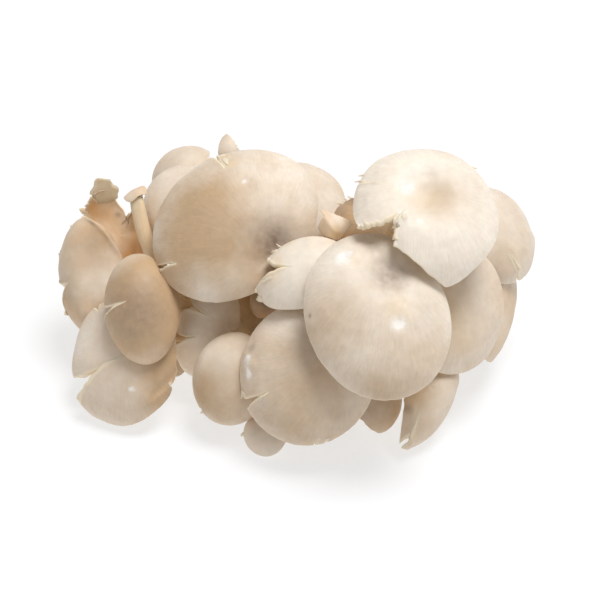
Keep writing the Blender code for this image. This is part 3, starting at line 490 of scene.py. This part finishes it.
def growStem(bm, spec):
    # the middle of the underside is drawn out along the stem's line, and the gills run down onto it
    _, rings, sections = meshing[spec["fineness"]]
    layer = bm.verts.layers.float
    reachOf, bearingOf, underOf, shareOf = (layer[word] for word in ("reach", "bearing", "under", "share"))
    columnOf = bm.verts.layers.int["column"]
    nearest, furthest = stemShape["neckReach"]
    neck = spec["stem"] * stemShape["neck"] / (spec["halfLength"] + spec["halfWidth"])
    neck = min(max(neck, nearest), furthest)
    neck = min(ringReaches(rings), key=lambda reach: abs(reach - neck))
    inside = [vert for vert in bm.verts if vert[underOf] > 0.99 and vert[reachOf] < neck - 1e-4]
    bmesh.ops.delete(bm, geom=inside, context="VERTS")
    loop = [edge for edge in bm.edges if edge.is_boundary]

    place = placement(spec)
    line = stemLine(spec)
    toCap = place.inverted()
    _, heading = onLine(line, 1)
    turn = (place.to_3x3() @ Vector((0, 0, 1))).rotation_difference(heading) @ place.to_quaternion()
    start = stemShape["start"]
    end = spec["free"] - stemShape["overlap"]  # it ends inside its stub on the butt
    # where a slit runs into the neck, its lips and walls share a spoke, and the last in this order is taken
    inOrder = sorted({vert for edge in loop for vert in edge.verts},
                     key=lambda vert: (vert[bearingOf], vert[underOf], vert[reachOf]))
    rim = {vert[columnOf]: place @ vert.co for vert in inOrder}
    drawn = bmesh.ops.extrude_edge_only(bm, edges=loop)["geom"]
    loop = [item for item in drawn if isinstance(item, bmesh.types.BMEdge)]
    ends = {vert for edge in loop for vert in edge.verts}
    for vert in ends:
        vert[shareOf] = 1
    bmesh.ops.contextual_create(bm, geom=loop)
    spans = [edge for edge in bm.edges if (edge.verts[0] in ends) != (edge.verts[1] in ends)]
    bmesh.ops.subdivide_edges(bm, edges=spans, cuts=sections - 1)
    lumpAround, lumpDown = stemShape["lumpPace"]
    grainAround, grainDown = stemShape["grainPace"]
    ringsOf = {section: [] for section in range(sections + 1)}
    for vert in bm.verts:
        ringsOf[round(vert[shareOf] * sections)].append(vert)
    for section in range(1, sections + 1):
        share = start - (start - end) * (section / sections) ** stemShape["crowding"]
        middle, newHeading = onLine(line, share)
        turn = heading.rotation_difference(newHeading) @ turn
        heading = newHeading
        blend = min(section / (sections * stemShape["blend"]), 1)
        blend = blend * blend * (3 - 2 * blend)
        down = 1 - share
        flare = spec["flare"] * exp(-down / stemShape["flareFade"])
        for vert in ringsOf[section]:
            column, bearing = vert[columnOf], vert[bearingOf]
            around = Vector((cos(bearing), sin(bearing), 0))
            lump = noise(around * lumpAround + Vector((0, 0, share * lumpDown)) + spec["salt"])
            radius = spec["stem"] * (1 + flare + stemShape["lump"] * lump)
            radius += stemShape["grain"] * noise(around * grainAround + Vector((0, 0, share * grainDown)))
            radius += stemShape["ridge"] * spec["stem"] * (column % 2) * exp(-down / stemShape["ridgeFade"])
            onStem = middle + turn @ (around * radius * mm)
            vert.co = toCap @ rim[column].lerp(onStem, blend)
            vert[shareOf] = down
            vert[reachOf] = 0


def growSliver(bm, spec, sliver):
    # a torn shred of flesh, rooted in the cap and curling up from it
    (bearing, reach), heading, (length, width, thick), lift = sliver
    bearing = radians(bearing)
    layer = bm.verts.layers.float
    root = capPoint(spec, reach, bearing)
    outward = (capPoint(spec, reach + 0.02, bearing) - root).normalized()
    up = outward.cross(capPoint(spec, reach, bearing + 0.02) - root).normalized()
    along = Matrix.Rotation(radians(heading), 3, up) @ outward
    across = up.cross(along)
    for vert in bmesh.ops.create_icosphere(bm, subdivisions=3, radius=1)["verts"]:
        x, y, z = vert.co
        share = (x + 1) / 2
        pace = sliverShape["ragPace"]
        rag = noise(Vector((x * pace, y * pace, length)) + spec["salt"])
        x = length * (share - sliverShape["rooted"])
        narrow = sliverShape["root"] - sliverShape["taper"] * share
        y *= width / 2 * narrow * (1 + sliverShape["ragged"] * rag)
        z = z * thick / 2 + lift * share**2 + sliverShape["rough"] * rag
        vert.co = root + (along * x + across * y + up * z) * mm
        vert[layer["reach"]] = reach
        vert[layer["bearing"]] = bearing
        vert[layer["lip"]] = 1


def isTorn(spec, bearing):
    return any(low < turned(bearing, 0) < high for low, high, _, _ in spec["torn"])


dressing = dict(stemLength=50, rimFrom=0.99, palerRim=0.3, spottedTo=0.6,
                kinds=("dark", "bruiseAndHighlight", "gold", "pale", "deep"))


def dress(spec, bm):
    # what the skin reads: spokes for the fibrils, zones for flesh, gills and stem, and the spots: real marks,
    # painted shade, painted highlights and the tone shift that paints light tops and shaded lower parts
    layers = bm.verts.layers
    rayOf, zoneOf, marksAndPaintedLightOf = (layers.float_vector[word] for word in ("ray", "zone", "marksAndPaintedLight"))
    reachOf, bearingOf, underOf, lipOf, shareOf, toneAndPaintedLightOf = (
        layers.float[word] for word in ("reach", "bearing", "under", "lip", "share", "toneAndPaintedLight"))
    for vert in bm.verts:
        bearing, reach = vert[bearingOf], vert[reachOf]
        distance = reach * rimDistance(spec, bearing)
        if vert[shareOf] > 0:
            distance = -vert[shareOf] * dressing["stemLength"]
        vert[rayOf] = (cos(bearing), sin(bearing), distance)
        lip = vert[lipOf]
        # the whole rim takes some of the flesh colour, a painted highlight along the edge; torn rims show the
        # flesh itself
        if reach > dressing["rimFrom"]:
            lip = max(lip, 1 if isTorn(spec, bearing) else dressing["palerRim"])
        vert[zoneOf] = (vert[underOf], lip, vert[shareOf])
        spotsAndPaintedLight = dict.fromkeys(dressing["kinds"], 0)
        if vert[underOf] < dressing["spottedTo"]:
            here = Vector((distance * cos(bearing), distance * sin(bearing)))
            for kind, at, size, strength in spec["spots"]:
                spotsAndPaintedLight[kind] += strength * exp(-(((here - fanPoint(spec, at)).length / size) ** 2))
        vert[marksAndPaintedLightOf] = (spotsAndPaintedLight["dark"], spotsAndPaintedLight["bruiseAndHighlight"], spotsAndPaintedLight["gold"])
        vert[toneAndPaintedLightOf] = spotsAndPaintedLight["deep"] - spotsAndPaintedLight["pale"]
    for word in ("reach", "bearing", "under", "lip", "share"):
        layers.float.remove(layers.float[word])
    layers.float_vector.remove(layers.float_vector["down"])
    layers.int.remove(layers.int["column"])


def asPiece(bm, name, place=None):
    mesh = bpy.data.meshes.new(name)
    if place:
        bmesh.ops.transform(bm, matrix=place, verts=bm.verts)
    bmesh.ops.recalc_face_normals(bm, faces=bm.faces)
    bm.to_mesh(mesh)
    bm.free()
    mesh.shade_smooth()
    piece = bpy.data.objects.new(name, mesh)
    bpy.context.scene.collection.objects.link(piece)
    return piece


def growMushroom(name):
    spec = grown(name)
    bm = growCap(spec)
    growStem(bm, spec)
    for sliver in spec["slivers"]:
        growSliver(bm, spec, sliver)
    dress(spec, bm)
    piece = asPiece(bm, "grown_" + name, placement(spec))
    piece.data.materials.append(capSkin(spec))
    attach(piece, "root")
    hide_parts("mushroom_" + name)


# The finishes. Each node tree is made of small named steps, on the object's own coordinates and the spokes.

def addNode(tree, kind, inputs=None, **settings):
    node = tree.nodes.new(kind)
    for key, value in settings.items():
        setattr(node, key, value)
    for key, value in (inputs or {}).items():
        if isinstance(value, bpy.types.NodeSocket):
            tree.links.new(value, node.inputs[key])
        else:
            node.inputs[key].default_value = value
    return node


def mixed(tree, amount, first, second, blend="MIX"):
    node = tree.nodes.new("ShaderNodeMix")
    node.data_type = "RGBA"
    node.blend_type = blend
    for socket, value in ((node.inputs[0], amount), (node.inputs[6], first), (node.inputs[7], second)):
        if isinstance(value, bpy.types.NodeSocket):
            tree.links.new(value, socket)
        else:
            socket.default_value = value
    return node.outputs[2]


def maths(tree, operation, *values, clamp=False):
    node = tree.nodes.new("ShaderNodeMath")
    node.operation = operation
    node.use_clamp = clamp
    for socket, value in zip(node.inputs, values):
        if isinstance(value, bpy.types.NodeSocket):
            tree.links.new(value, socket)
        else:
            socket.default_value = value
    return node.outputs[0]


def ranged(tree, value, low, high, toLow=0, toHigh=1):
    inputs = {0: value, 1: low, 2: high, 3: toLow, 4: toHigh}
    return addNode(tree, "ShaderNodeMapRange", inputs, interpolation_type="SMOOTHSTEP").outputs[0]


def grainy(tree, vector, scale, detail=3, roughness=0.55, distortion=0):
    inputs = {"Vector": vector, "Scale": scale, "Detail": detail}
    inputs.update({"Roughness": roughness, "Distortion": distortion})
    return addNode(tree, "ShaderNodeTexNoise", inputs).outputs["Fac"]


def fractions(tree, name):
    # the three numbers of an attribute
    vector = addNode(tree, "ShaderNodeAttribute", attribute_name=name).outputs["Vector"]
    return addNode(tree, "ShaderNodeSeparateXYZ", {0: vector}).outputs


skinLooks = dict(pale=(0.92, 0.845, 0.745, 1), deep=(0.54, 0.39, 0.245, 1), grey=(0.30, 0.215, 0.16, 1),
                 warm=(0.88, 0.56, 0.28, 1), flesh=(0.93, 0.81, 0.62, 1), gill=(0.89, 0.73, 0.52, 1),
                 stem=(0.90, 0.66, 0.40, 1), gold=(0.83, 0.60, 0.32, 1), bruiseAndHighlight=(0.95, 0.93, 0.89, 1))
# the noises' scales, and how much each weighs in the tone, the skin's texture and its relief
skinGrain = dict(fine=(30, 30, 0.16), hair=(85, 85, 0.35), fibrous=(4, 22), cloud=34, blotch=105, mottle=330,
                 grain=1500)
skinTone = dict(cloud=0.9, middle=0.45, blotch=0.36, warm=0.8, warmCloud=(0.25, 0.8))
skinTexture = dict(level=1.09, fine=-0.17, hair=-0.2, mottle=-0.2)
skinRelief = dict(fine=0.4, hair=0.3, mottle=0.6, grain=0.12, strength=0.32, distance=0.0006)
skinGloss = dict(rough=0.42, mottle=0.22, below=0.15, patch=0.2, specular=0.5)
skinDepth = dict(weight=0.2, radius=(1.0, 0.75, 0.55), scale=0.0016)
# how the mottle breaks up the dark spots, partly marks and partly painted shade, the gold, and the bruises,
# partly painted highlights, and where the flesh below the rim begins
skinMarksAndPaintedLight = dict(dark=(0.9, 0.35), gold=(0.8, 0.2), bruiseAndHighlight=(3, -0.6), bruiseAndHighlightEdge=(0.15, 0.8), bruiseAndHighlightMost=0.9)
skinBelow = dict(edge=(0.35, 0.8), stem=(0, 0.25), blotch=0.6, torn=0.45)


def added(tree, first, *parts, clamp=False):
    # a sum of sockets, each times its own weight
    for number, (socket, weight) in enumerate(parts):
        last = number == len(parts) - 1
        first = maths(tree, "ADD", first, maths(tree, "MULTIPLY", socket, weight), clamp=clamp and last)
    return first


def fibril(tree, ray, scale, detail, fibrous):
    # noise that is narrow around the cap and long from stem to rim, gone close to the stem
    drawn = addNode(tree, "ShaderNodeMapping", {"Vector": ray, "Scale": scale}).outputs[0]
    level = maths(tree, "SUBTRACT", grainy(tree, drawn, 1, detail=detail), 0.5)
    return maths(tree, "MULTIPLY", level, fibrous)


def capSkin(spec):
    made = bpy.data.materials.new("skin_" + spec["name"])
    made.use_nodes = True
    tree = made.node_tree
    shader = tree.nodes["Principled BSDF"]
    looks = skinLooks
    place = addNode(tree, "ShaderNodeTexCoord").outputs["Object"]
    ray = addNode(tree, "ShaderNodeAttribute", attribute_name="ray").outputs["Vector"]
    _, _, distance = addNode(tree, "ShaderNodeSeparateXYZ", {0: ray}).outputs
    under, lip, share = fractions(tree, "zone")
    dark, bruiseAndHighlight, gold = fractions(tree, "marksAndPaintedLight")
    toneAndPaintedLight = addNode(tree, "ShaderNodeAttribute", attribute_name="toneAndPaintedLight").outputs["Fac"]

    fibrous = ranged(tree, distance, *skinGrain["fibrous"])
    fine = fibril(tree, ray, skinGrain["fine"], 3, fibrous)
    hair = fibril(tree, ray, skinGrain["hair"], 2, fibrous)
    cloud = grainy(tree, place, skinGrain["cloud"], detail=3, distortion=0.3)
    blotch = grainy(tree, place, skinGrain["blotch"], detail=4, distortion=0.5)
    mottle = grainy(tree, place, skinGrain["mottle"], detail=4)
    grain = grainy(tree, place, skinGrain["grain"], detail=2)

    # the skin itself, from pale to deep, with the pale and deep spots: partly its own tone, partly painted
    # light on the tops and painted shade lower down
    tone = maths(tree, "MULTIPLY_ADD", cloud, skinTone["cloud"], spec["shade"] - skinTone["middle"])
    level = maths(tree, "MULTIPLY_ADD", blotch, skinTone["blotch"], -skinTone["blotch"] / 2)
    tone = maths(tree, "ADD", maths(tree, "ADD", tone, level), toneAndPaintedLight, clamp=True)
    skin = mixed(tree, tone, looks["pale"], looks["deep"])
    texture = maths(tree, "MULTIPLY_ADD", fine, skinTexture["fine"], skinTexture["level"])
    texture = added(tree, texture, (hair, skinTexture["hair"]), (mottle, skinTexture["mottle"]))
    skin = mixed(tree, 1, skin, texture, blend="MULTIPLY")
    # warmth tints the skin orange: a little on every cap as its own tone, and strongly on left_cupped and
    # middle_behind_torn, where it is a painted glow of light through thin flesh in shade
    warmth = maths(tree, "MULTIPLY", ranged(tree, cloud, *skinTone["warmCloud"]),
                   spec["warm"] * skinTone["warm"])
    skin = mixed(tree, warmth, skin, looks["warm"])

    # the dark spots, partly real marks and partly painted shade in the dips and under other caps, and the
    # golden patches are mottled, and bruises have a firmer edge
    broken = maths(tree, "MULTIPLY_ADD", mottle, *skinMarksAndPaintedLight["dark"])
    darkMarksAndShade = maths(tree, "MULTIPLY", dark, broken, clamp=True)
    skin = mixed(tree, darkMarksAndShade, skin, looks["grey"])
    broken = maths(tree, "MULTIPLY_ADD", mottle, *skinMarksAndPaintedLight["gold"])
    golden = maths(tree, "MULTIPLY", gold, broken, clamp=True)
    skin = mixed(tree, golden, skin, looks["gold"])
    # the white patches are partly bruises and partly painted highlights
    patch = maths(tree, "MULTIPLY", bruiseAndHighlight, maths(tree, "MULTIPLY_ADD", mottle, *skinMarksAndPaintedLight["bruiseAndHighlight"]))
    patch = ranged(tree, patch, *skinMarksAndPaintedLight["bruiseAndHighlightEdge"])
    patch = maths(tree, "MULTIPLY", patch, skinMarksAndPaintedLight["bruiseAndHighlightMost"])
    skin = mixed(tree, patch, skin, looks["bruiseAndHighlight"])

    # gills, stem and torn flesh have none of the skin's brown
    below = ranged(tree, under, *skinBelow["edge"])
    belowTone = mixed(tree, ranged(tree, share, *skinBelow["stem"]), looks["gill"], looks["stem"])
    belowTone = mixed(tree, maths(tree, "MULTIPLY", blotch, skinBelow["blotch"]), belowTone, looks["flesh"])
    skin = mixed(tree, below, skin, belowTone)
    torn = maths(tree, "MULTIPLY", lip, maths(tree, "ADD", mottle, skinBelow["torn"]), clamp=True)
    skin = mixed(tree, torn, skin, looks["flesh"])
    tree.links.new(skin, shader.inputs["Base Color"])

    rough = maths(tree, "MULTIPLY_ADD", mottle, skinGloss["mottle"], skinGloss["rough"])
    rough = added(tree, rough, (below, skinGloss["below"]), (patch, -skinGloss["patch"]), clamp=True)
    tree.links.new(rough, shader.inputs["Roughness"])

    relief = skinRelief
    height = maths(tree, "MULTIPLY", fine, relief["fine"])
    rest = ((hair, relief["hair"]), (mottle, relief["mottle"]), (grain, relief["grain"]))
    height = added(tree, height, *rest)
    inputs = {"Height": height, "Strength": relief["strength"], "Distance": relief["distance"]}
    tree.links.new(addNode(tree, "ShaderNodeBump", inputs).outputs[0], shader.inputs["Normal"])
    soften(shader, skinDepth)
    shader.inputs["Specular IOR Level"].default_value = skinGloss["specular"]
    return made


def soften(shader, depth):
    # light goes a little way into the flesh
    shader.inputs["Subsurface Weight"].default_value = depth["weight"]
    shader.inputs["Subsurface Radius"].default_value = depth["radius"]
    shader.inputs["Subsurface Scale"].default_value = depth["scale"]


buttLooks = dict(size=(66, 50, 24), lumps=2.5, lumpCount=1.7, cut=0.25, voxel=0.9, smoothings=3,
                 pale=(0.88, 0.72, 0.50, 1), deep=(0.68, 0.46, 0.25, 1))
stubShape = dict(sides=28, cuts=15, waist=0.2, spread=1.5, flare=1.45, inside=0.012, neck=0.985, tip=0.9,
                 lump=0.05, lumpPace=6)
buttGrain = dict(streak=420, drawn=(1, 1, 0.25), cloud=60, fuzz=1600)
buttTone = dict(cloud=(0.9, -0.5), streak=0.6, rough=(0.2, 0.6))
buttRelief = dict(fuzz=0.3, strength=0.5, distance=0.0006)
buttDepth = dict(weight=0.5, radius=(1.0, 0.5, 0.25), scale=0.004)


def buttSkin():
    made = bpy.data.materials.new("skin_butt")
    made.use_nodes = True
    tree = made.node_tree
    shader = tree.nodes["Principled BSDF"]
    place = addNode(tree, "ShaderNodeTexCoord").outputs["Object"]
    drawn = addNode(tree, "ShaderNodeMapping", {"Vector": place, "Scale": buttGrain["drawn"]}).outputs[0]
    streak = grainy(tree, drawn, buttGrain["streak"], detail=4)
    cloud = grainy(tree, place, buttGrain["cloud"], detail=4)
    fuzz = grainy(tree, place, buttGrain["fuzz"], detail=3)
    level = maths(tree, "MULTIPLY_ADD", cloud, *buttTone["cloud"])
    tone = maths(tree, "ADD", maths(tree, "MULTIPLY", streak, buttTone["streak"]), level, clamp=True)
    tree.links.new(mixed(tree, tone, buttLooks["pale"], buttLooks["deep"]), shader.inputs["Base Color"])
    tree.links.new(maths(tree, "MULTIPLY_ADD", streak, *buttTone["rough"]), shader.inputs["Roughness"])
    height = maths(tree, "ADD", streak, maths(tree, "MULTIPLY", fuzz, buttRelief["fuzz"]))
    inputs = {"Height": height, "Strength": buttRelief["strength"], "Distance": buttRelief["distance"]}
    tree.links.new(addNode(tree, "ShaderNodeBump", inputs).outputs[0], shader.inputs["Normal"])
    soften(shader, buttDepth)
    return made


def growButt():
    # the lump and every stub, remeshed into one skin and cut flat again
    looks = buttLooks
    bm = bmesh.new()
    lump = bmesh.ops.create_icosphere(bm, subdivisions=5, radius=1)["verts"]
    width, depth, height = looks["size"]
    for vert in lump:
        x, y, z = vert.co
        swell = 1 + looks["lumps"] / height * noise(vert.co * looks["lumpCount"] + Vector((3, 1, 5)))
        tall = (z + looks["cut"]) / (1 + looks["cut"])
        vert.co = Vector((x * width / 2, y * depth / 2, tall * height)) * swell * mm
    straight = straightStub()
    for name in mushrooms:
        growStub(bm, straight, grown(name))
    piece = asPiece(bm, "grown_butt")
    remesh = piece.modifiers.new("fuse", "REMESH")
    remesh.mode = "VOXEL"
    remesh.voxel_size = looks["voxel"] * mm
    graph = bpy.context.evaluated_depsgraph_get()
    fused = bpy.data.meshes.new_from_object(piece.evaluated_get(graph))
    piece.modifiers.clear()
    piece.data = fused
    bm = bmesh.new()
    bm.from_mesh(fused)
    for _ in range(looks["smoothings"]):
        bmesh.ops.smooth_vert(bm, verts=bm.verts, factor=0.5, use_axis_x=True, use_axis_y=True,
                              use_axis_z=True)
    everything = bm.verts[:] + bm.edges[:] + bm.faces[:]
    foot = bmesh.ops.bisect_plane(bm, geom=everything, dist=1e-7, plane_co=(0, 0, 0), plane_no=(0, 0, 1),
                                  clear_inner=True)
    rim = [item for item in foot["geom_cut"] if isinstance(item, bmesh.types.BMEdge)]
    bmesh.ops.edgenet_fill(bm, edges=rim)
    bmesh.ops.recalc_face_normals(bm, faces=bm.faces)
    bm.to_mesh(fused)
    bm.free()
    fused.shade_smooth()
    fused.materials.clear()
    fused.materials.append(buttSkin())
    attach(piece, "root")
    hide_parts("butt")


def straightStub():
    # a unit tube of rings, which every stub is bent from
    bm = bmesh.new()
    bmesh.ops.create_cone(bm, cap_ends=True, segments=stubShape["sides"], radius1=1, radius2=1, depth=1)
    upright = [edge for edge in bm.edges if abs(edge.verts[0].co.z - edge.verts[1].co.z) > 0.5]
    bmesh.ops.subdivide_edges(bm, edges=upright, cuts=stubShape["cuts"])
    bmesh.ops.translate(bm, verts=bm.verts, vec=(0, 0, 0.5))
    mesh = bpy.data.meshes.new("stub")
    bm.to_mesh(mesh)
    bm.free()
    return mesh


def growStub(bm, straight, spec):
    # it widens into the lump, and its tip ends inside the stem that the mushroom brings
    line = stemLine(spec)
    waist = min(spec["free"] / 2, stubShape["waist"])
    first = len(bm.verts)
    bm.from_mesh(straight)
    bm.verts.ensure_lookup_table()
    _, up = onLine(line, 0)
    for vert in bm.verts[first:]:
        share = (spec["free"] + stubShape["inside"]) * vert.co.z
        middle, heading = onLine(line, share)
        widen = 1 + (stubShape["flare"] - 1) * max(1 - share / waist / stubShape["spread"], 0) ** 2
        narrow = stubShape["neck"] if vert.co.z < 0.99 else stubShape["tip"]
        around = Vector((vert.co.x, vert.co.y, 0))
        lump = stubShape["lump"] * noise(around + Vector((0, 0, share * stubShape["lumpPace"])))
        radius = spec["stem"] * widen * narrow * (1 + lump)
        bend = up.rotation_difference(heading) @ Vector((0, 0, 1)).rotation_difference(up)
        vert.co = middle + bend @ around * radius * mm


for name in mushrooms:
    growMushroom(name)
print("mushrooms grown:", len(mushrooms))
growButt()
print("butt fused")

# the photograph is 600 pixels wide and high, and the frame's origin is at originPixel in it
cameraSet = dict(elevation=40, lens=100, sensor=36, pixels=600, pixelsPerMm=2.405, originPixel=(295.5, 391),
                 focus=45)


def addCamera():
    look = cameraSet
    angle = radians(look["elevation"])
    back = Vector((0, -cos(angle), sin(angle)))
    up = Vector((0, sin(angle), cos(angle)))
    right = Vector((1, 0, 0))
    distance = look["pixels"] / look["pixelsPerMm"] * look["lens"] / look["sensor"]
    x, y = (value - look["pixels"] / 2 for value in look["originPixel"])
    aim = (up * y - right * x) / look["pixelsPerMm"] + back * look["focus"]
    camera = bpy.data.objects.new("camera", bpy.data.cameras.new("camera"))
    camera.data.lens = look["lens"]
    camera.data.sensor_width = look["sensor"]
    camera.data.clip_start = 0.01
    camera.location = (aim + back * distance) * mm
    camera.rotation_euler = (-back).to_track_quat("-Z", "Y").to_euler()
    bpy.context.scene.collection.objects.link(camera)
    bpy.context.scene.camera = camera


# the lamp is a place, a size and a power
studio = dict(floorSize=9000, floorColour=(0.34, 0.35, 0.365, 1), floorGlow=0.67, floorRough=0.9,
              floorShine=0.1, sky=(1, 0.95, 0.89, 1), skyStrength=0.4, lamp=((420, 60, 1750), 850, 23),
              aim=(0, 0, 45))


def addStudio():
    # pale paper that glows a little, so that it stays white, under one wide soft lamp and a warm sky
    bm = bmesh.new()
    bmesh.ops.create_grid(bm, x_segments=2, y_segments=2, size=studio["floorSize"] / 2 * mm)
    mesh = bpy.data.meshes.new("floor")
    bm.to_mesh(mesh)
    bm.free()
    floor = bpy.data.objects.new("floor", mesh)
    bpy.context.scene.collection.objects.link(floor)
    paper = bpy.data.materials.new("paper")
    paper.use_nodes = True
    shader = paper.node_tree.nodes["Principled BSDF"]
    shader.inputs["Base Color"].default_value = studio["floorColour"]
    shader.inputs["Roughness"].default_value = studio["floorRough"]
    shader.inputs["Specular IOR Level"].default_value = studio["floorShine"]
    shader.inputs["Emission Color"].default_value = (1, 1, 1, 1)
    shader.inputs["Emission Strength"].default_value = studio["floorGlow"]
    mesh.materials.append(paper)
    place, size, power = studio["lamp"]
    lamp = bpy.data.objects.new("lamp_top", bpy.data.lights.new("lamp_top", "AREA"))
    lamp.data.shape = "DISK"
    lamp.data.size = size * mm
    lamp.data.energy = power
    lamp.location = Vector(place) * mm
    lamp.rotation_euler = (Vector(studio["aim"]) - Vector(place)).to_track_quat("-Z", "Y").to_euler()
    bpy.context.scene.collection.objects.link(lamp)
    world = bpy.data.worlds.new("studio")
    bpy.context.scene.world = world
    world.use_nodes = True
    world.node_tree.nodes["Background"].inputs["Color"].default_value = studio["sky"]
    world.node_tree.nodes["Background"].inputs["Strength"].default_value = studio["skyStrength"]
    bpy.context.scene.view_settings.view_transform = "Standard"


addCamera()
addStudio()
print("camera and studio set")
